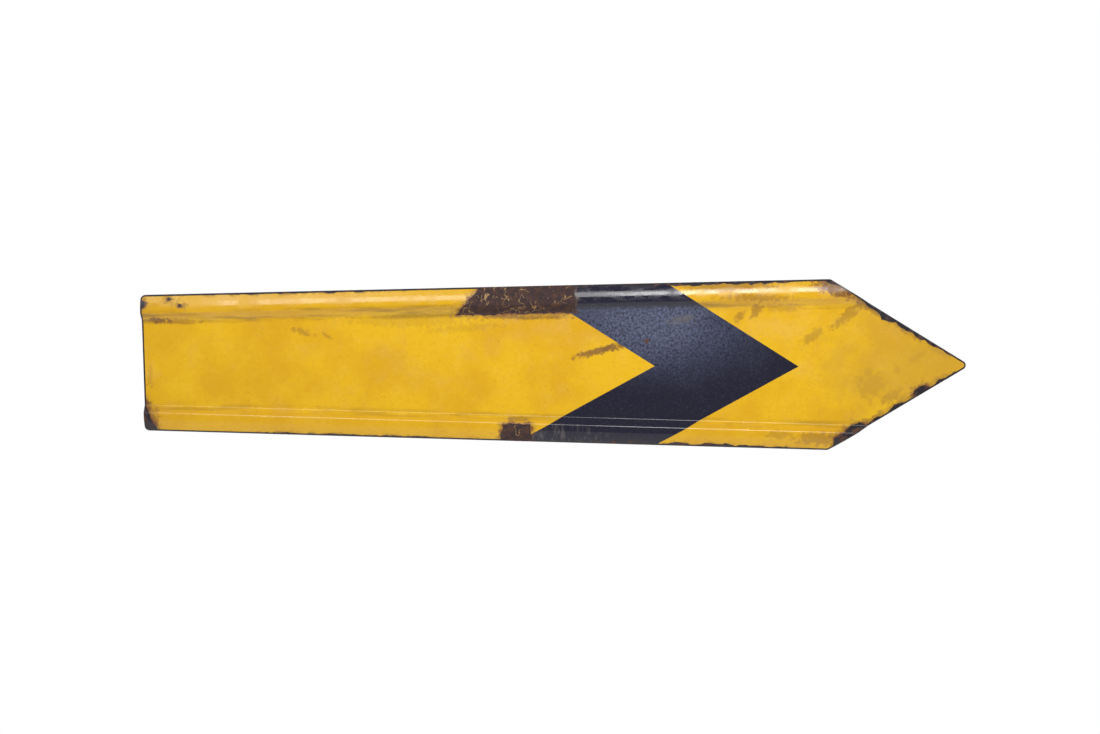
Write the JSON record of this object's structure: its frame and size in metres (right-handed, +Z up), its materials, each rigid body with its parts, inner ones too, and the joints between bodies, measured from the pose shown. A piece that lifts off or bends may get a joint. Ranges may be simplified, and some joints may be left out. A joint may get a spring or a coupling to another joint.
{
  "type": "railway semaphore signal arm blade",
  "caption": "Tapered, pointed blade of a railway semaphore arm, pressed steel with a raised bead along each long edge, enamelled with a chevron on both faces.",
  "frame": {"origin": "on the flat back, on the centre line, in the middle of the root seat, 60 mm in from the root edge", "axes": "+X along the arm from the root to the tip, +Y out of the back, so the front faces -Y, +Z up in service with the arm horizontal"},
  "size_m": [1.2016, 0.0121, 0.25],
  "materials": {
    "pressed_steel": "pressed mild steel sheet, bare where the enamel is lost and brown with rust",
    "ground_enamel": "dark blue-black cobalt ground coat, semi-gloss, chipped and rust-stained at the edges",
    "yellow_enamel": "weathered yellow vitreous enamel, satin, with brown stains",
    "black_enamel": "black vitreous enamel, satin, scuffed and hazed",
    "white_enamel": "weathered white vitreous enamel, satin, with rust runs"
  },
  "bodies": {
    "root": {"steel_pressing": "pressed_steel", "ground_coat_front": "ground_enamel", "ground_coat_back": "ground_enamel", "ground_coat_rim": "ground_enamel", "yellow_enamel_root_panel": "yellow_enamel", "black_enamel_chevron": "black_enamel", "yellow_enamel_tip_panel": "yellow_enamel", "white_enamel_back_root_panel": "white_enamel", "black_enamel_back_chevron": "black_enamel", "white_enamel_back_tip_panel": "white_enamel"}
  },
  "joints": []
}
